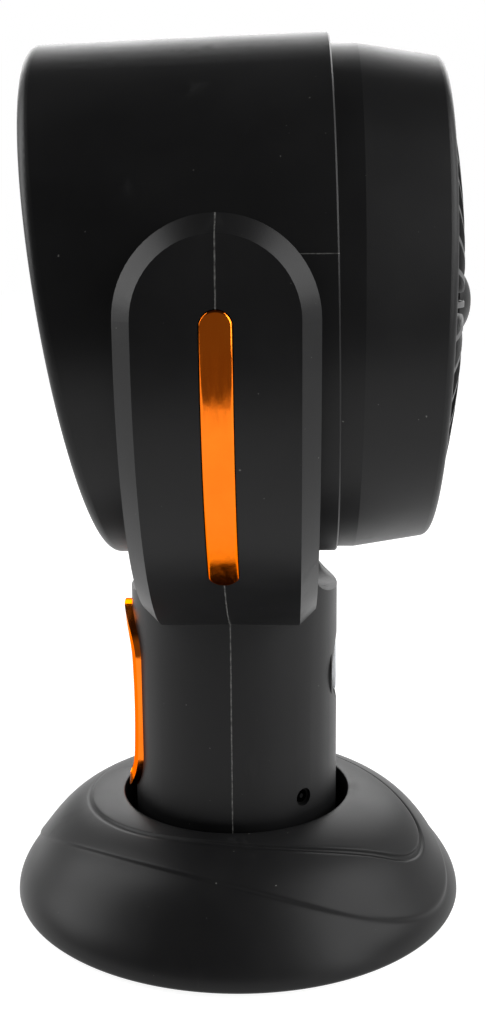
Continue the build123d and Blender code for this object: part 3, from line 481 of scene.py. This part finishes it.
def make_base_cover():
    # section from the lip of the well out to the widest ring, as radius and height along s
    section = smooth_curve(
        [(section_start_radius, base_top), base_shoulder, base_flank,
         (base_half_width, base_widest_height)],
        section_start_slope, (0, -1), section_steps,
    )
    section = section[section[:, 0] >= well_radius + well_lip]
    s = np.concatenate([[0], np.cumsum(np.linalg.norm(np.diff(section, axis=0), axis=1))])
    keep = np.concatenate([[True], np.diff(s) > 1e-9])
    s, section = s[keep], section[keep]
    way = np.gradient(section, s, axis=0)
    way /= np.linalg.norm(way, axis=1)[:, None]
    outward = np.stack([-way[:, 1], way[:, 0]], axis=1)

    angles = np.linspace(0, 2 * math.pi, around, endpoint=False)
    cos, sin = np.cos(angles), np.sin(angles)
    oval = base_half_length / np.hypot(cos, sin * base_half_length / base_half_width)
    oval /= base_half_width

    def stretch(radius, full):
        share = np.clip((radius - round_until) / (oval_from - round_until), 0, 1)
        return 1 + (full - 1) * share * share * (3 - 2 * share)

    # where each ray from the axis meets the petal's outline and the crown's outline
    rays = section[:, 0] * stretch(section[:, 0], oval[:, None])
    petal = angles - collar_turn
    depth = collar_depth(rays * np.cos(petal)[:, None], rays * np.sin(petal)[:, None])
    crown = 1 / np.hypot(cos / crown_half_length, sin / crown_half_width)

    def at_collar(inside):
        return np.array([np.interp(-inside, -depth[i], s) for i in range(around)])

    def at_crown(past):
        return np.array([np.interp(crown[i] + past, rays[i], s) for i in range(around)])

    # rows of points, as the place along s and the height above the section
    away = np.abs((petal + math.pi) % (2 * math.pi) - math.pi)
    fade = np.interp(away, (groove_full, groove_gone), (1.0, groove_faint))
    petal_height = crown_step + collar_step
    groove_height = crown_step - groove_depth * fade
    collar_edge = [
        (at_collar(inside), a * petal_height + b * groove_height + c * crown_step)
        for inside, a, b, c in collar_rows
    ]
    crown_edge = [(at_crown(past), share * crown_step) for past, share in crown_rows]
    petal_end, crown_start = collar_edge[0][0], collar_edge[-1][0]
    crown_end, flank_start = crown_edge[0][0], crown_edge[-1][0]
    rows = [(petal_end * share, petal_height)
            for share in np.linspace(0, 1, petal_fill, endpoint=False)]
    rows += collar_edge
    rows += [(crown_start + (crown_end - crown_start) * share, crown_step)
             for share in np.linspace(0, 1, crown_fill + 2)[1:-1]]
    rows += crown_edge
    rows += [(flank_start + (s[-1] - flank_start) * share, 0.0)
             for share in np.linspace(0, 1, flank_fill + 1)[1:]]

    rings = []

    def ring(radius, height, full=oval):
        reach = radius * stretch(radius, full)
        x, y = reach * cos, reach * sin
        rings.append(np.stack([
            x * math.cos(base_turn) - y * math.sin(base_turn),
            x * math.sin(base_turn) + y * math.cos(base_turn),
            np.broadcast_to(height, (around,)),
        ], axis=1))

    def section_at(place, lift):
        return [np.interp(place, s, section[:, i]) + lift * np.interp(place, s, outward[:, i])
                for i in (0, 1)]

    # the closed shell: up the well, over the dome, round the rim, the plate's seat, the inside
    lip_height = section[0, 1] + petal_height
    ring(well_radius, plate_top)
    for out, below in lip_rows:
        ring(well_radius + out, lip_height - below)
    for place, lift in rows:
        ring(*section_at(place, lift))
    for inset, height in rim_rows:
        ring(base_half_width - inset, height)
    ring(plate_seat_radius, base_bottom, full=1)
    ring(plate_seat_radius, plate_top + plate_seat_gap, full=1)
    for place in np.linspace(s[-1], underside_end, underside_fill):
        ring(*section_at(place, -base_wall))
    ring(well_radius + base_wall, plate_top)

    points = list(np.concatenate(rings))
    faces = []
    for j in range(len(rings)):
        for i in range(around):
            k, n = (i + 1) % around, (j + 1) % len(rings)
            faces.append((j * around + i, n * around + i, n * around + k, j * around + k))
    for post in range(boss_count):
        more_points, more_faces = screw_post(
            boss_start + 2 * math.pi * post / boss_count,
            lambda radius: np.interp(radius, section[:, 0], section[:, 1]),
            len(points),
        )
        points += more_points
        faces += more_faces
    piece = add_piece("oval_base_cover", points, faces, base_look, "base")
    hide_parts("base_cover")


def shoulder_heights(x, y):
    # top and underside of a shoulder; the underside is sunk a little into the saddle
    top = shoulder_top
    if x > half_arm:
        off = x - shoulder_arc_centre[0]
        top = shoulder_arc_centre[1] - math.sqrt(shoulder_arc_radius**2 - off**2)
    trough = shoulder_trough_height - math.sqrt(shoulder_trough_radius**2 - y * y)
    top = min(top, trough)
    reach = saddle_arc_drop + math.sqrt(saddle_arc_radius**2 - y * y)
    saddle = tilt_axis_height - math.sqrt(reach**2 - x * x)
    return top, min(saddle, top) - shoulder_sink


def make_shoulder(name, side):
    columns, lines = shoulder_columns, shoulder_lines
    widest = math.sqrt(column_radius**2 - shoulder_inner**2) - shoulder_end_gap
    tops, undersides = [], []
    for y in np.linspace(-widest, widest, lines):
        edge = math.sqrt(column_radius**2 - y * y)
        for x in np.linspace(shoulder_inner, edge, columns):
            top, low = shoulder_heights(x, y)
            tops.append((side * x, y, top))
            undersides.append((side * x, y, low))
    size = columns * lines
    faces = []
    for j in range(lines - 1):
        for i in range(columns - 1):
            a = j * columns + i
            faces.append((a, a + 1, a + columns + 1, a + columns))
            faces.append((size + a, size + a + columns, size + a + columns + 1, size + a + 1))
    border = ([i for i in range(columns)]
              + [j * columns + columns - 1 for j in range(1, lines)]
              + [(lines - 1) * columns + i for i in range(columns - 2, -1, -1)]
              + [j * columns for j in range(lines - 2, 0, -1)])
    for a, b in zip(border, border[1:] + border[:1]):
        faces.append((a, size + a, size + b, b))
    piece = add_piece(name, tops + undersides, faces, fork_look, "fork")
    piece.data.set_sharp_from_angle(angle=shoulder_crease)


def make_strip(name, node, side):
    # a bar with full round ends and rounded edges, bent round the arm's outside
    half = strip_half_width
    straight = strip_top - fork_centre_height
    bent = fork_radius * math.asin((fork_centre_height - strip_bottom) / fork_radius)
    length = straight + bent

    def outline(inset):
        radius = half - inset
        spots = []
        for end, other, start in ((half, length - half, math.pi), (length - half, half, 0.0)):
            for i in range(strip_end_steps + 1):
                a = start + math.pi * i / strip_end_steps
                spots.append((radius * math.cos(a), end + radius * math.sin(a)))
            x = spots[-1][0]
            for i in range(1, strip_side_steps):
                spots.append((x, end + (other - end) * i / strip_side_steps))
        return spots

    def on_arm(x, way, lift):
        out = fork_radius + lift
        if way < straight:
            return (x, side * out, strip_top - way)
        bend = (way - straight) / fork_radius
        return (x, side * out * math.cos(bend), fork_centre_height - out * math.sin(bend))

    # from the back over the rounded edge to the face, as inset and lift
    profile = [(strip_back_share * half, -strip_depth), (0.0, -strip_depth)]
    for i in range(strip_edge_steps + 1):
        a = math.pi / 2 * i / strip_edge_steps
        profile.append((strip_edge * (1 - math.cos(a)),
                        strip_proud - strip_drop * (1 - math.sin(a))))
    profile += [(strip_edge + (half - strip_edge) * share, strip_proud)
                for share in strip_face_shares]
    points = [on_arm(x, way, lift) for inset, lift in profile for x, way in outline(inset)]
    count = len(outline(0.0))
    faces = []
    for j in range(len(profile) - 1):
        for i in range(count):
            k = (i + 1) % count
            faces.append((j * count + i, j * count + k, (j + 1) * count + k, (j + 1) * count + i))
    # the middle of the back and of the face: each point is joined to its mirror image
    middle = strip_end_steps // 2
    for first in (0, (len(profile) - 1) * count):
        for i in range(middle, middle + count // 2):
            corners = [i, i + 1, (strip_end_steps - i - 1) % count, (strip_end_steps - i) % count]
            faces.append(tuple(first + c for c in dict.fromkeys(corners)))
    piece = add_piece(name, points, faces, finishes["amber_trim"], "fork")
    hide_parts(node)


def make_floor():
    reach = floor_reach
    mesh = bpy.data.meshes.new("floor")
    mesh.from_pydata(
        [(-reach, floor_front, 0), (reach, floor_front, 0), (reach, reach, 0), (-reach, reach, 0)],
        [], [(0, 1, 2, 3)],
    )
    floor = bpy.data.objects.new("floor", mesh)
    scene.collection.objects.link(floor)
    pale = Material("floor_look")
    pale.set(Base_Color=(0.30, 0.30, 0.30, 1.0), Roughness=0.9,
             Emission_Color=white, Emission_Strength=floor_glow)
    mesh.materials.append(pale.material)


def soft_box(name, place, target, width, height, power):
    data = bpy.data.lights.new(name, "AREA")
    data.shape = "RECTANGLE"
    data.size = width
    data.size_y = height
    data.energy = power
    light = bpy.data.objects.new(name, data)
    light.location = place
    aim = (Vector(target) - Vector(place)).to_track_quat("-Z", "Y")
    light.rotation_euler = aim.to_euler()
    scene.collection.objects.link(light)


def make_world():
    # white where the world itself is seen; as light it is bright behind the fan and dim above
    world = bpy.data.worlds.new("studio")
    world.use_nodes = True
    sky = Nodes(world.node_tree)
    direction = sky.add("ShaderNodeSeparateXYZ")
    sky.link(sky.add("ShaderNodeTexCoord").outputs["Generated"], direction.inputs["Vector"])
    behind = sky.remap(direction.outputs["Y"], -0.2, 0.6, 0.17, 0.80)
    above = sky.remap(direction.outputs["Z"], 0.45, 0.70, 1.0, 0.12)
    glow = sky.tree.nodes["Background"]
    glow.inputs["Color"].default_value = white
    sky.link(sky.math("MULTIPLY", behind, above), glow.inputs["Strength"])
    seen = sky.add("ShaderNodeBackground")
    seen.inputs["Color"].default_value = white
    seen.inputs["Strength"].default_value = 1.0
    choose = sky.add("ShaderNodeMixShader")
    sky.link(sky.add("ShaderNodeLightPath").outputs["Is Camera Ray"], choose.inputs[0])
    sky.link(glow.outputs[0], choose.inputs[1])
    sky.link(seen.outputs[0], choose.inputs[2])
    sky.link(choose.outputs[0], sky.tree.nodes["World Output"].inputs["Surface"])
    scene.world = world


make_base_cover()
make_shoulder("front_shoulders", 1)
make_shoulder("rear_shoulders", -1)
make_strip("amber_bar_left", "arm_strip_left", -1)
make_strip("amber_bar_right", "arm_strip_right", 1)
make_floor()
for box in soft_boxes:
    soft_box(*box)
make_world()
scene.view_settings.view_transform = "Standard"
make_camera()
